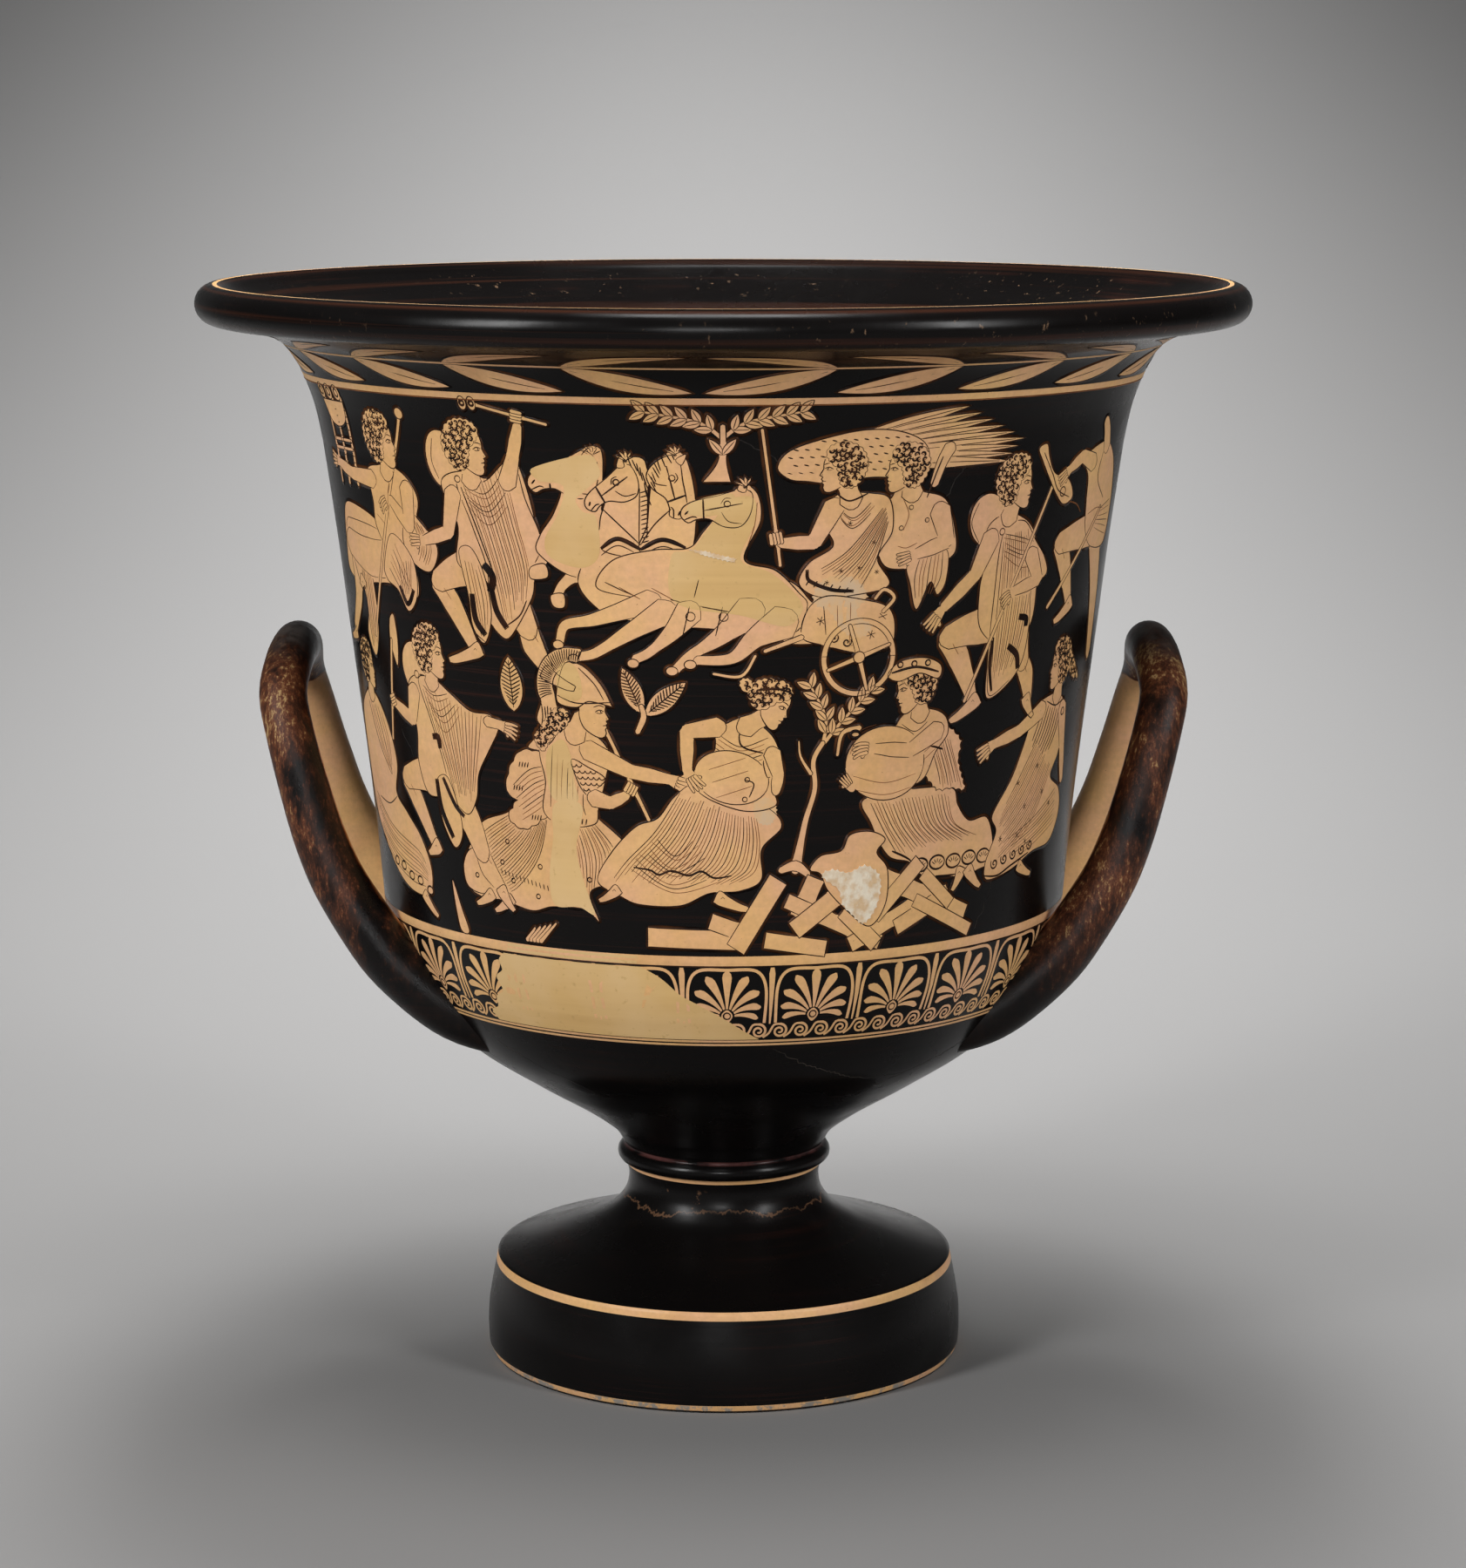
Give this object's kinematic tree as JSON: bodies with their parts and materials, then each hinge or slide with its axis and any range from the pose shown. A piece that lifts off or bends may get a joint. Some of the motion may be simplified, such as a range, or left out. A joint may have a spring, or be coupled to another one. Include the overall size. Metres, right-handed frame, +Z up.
{
  "type": "calyx krater",
  "caption": "Deep wide-mouthed mixing bowl of fired clay on a stemmed disc foot, with upright loop handles low on its sides and a painted frieze.",
  "frame": {"origin": "centre of the resting ring under the foot, on the surface it stands on", "axes": "+Z up along the axis of the bowl; the main painted face looks to -Y; the handles are on +X and -X"},
  "size_m": [0.4972, 0.4972, 0.52],
  "materials": {
    "black_gloss": "satin black slip gloss",
    "reserved_clay": "burnished orange clay",
    "slip_line": "thin dark slip line",
    "worn_slip": "slip worn through to brown clay",
    "plaster_fill": "toned plaster repair"
  },
  "bodies": {
    "root": {"krater": "black_gloss"}
  },
  "joints": []
}
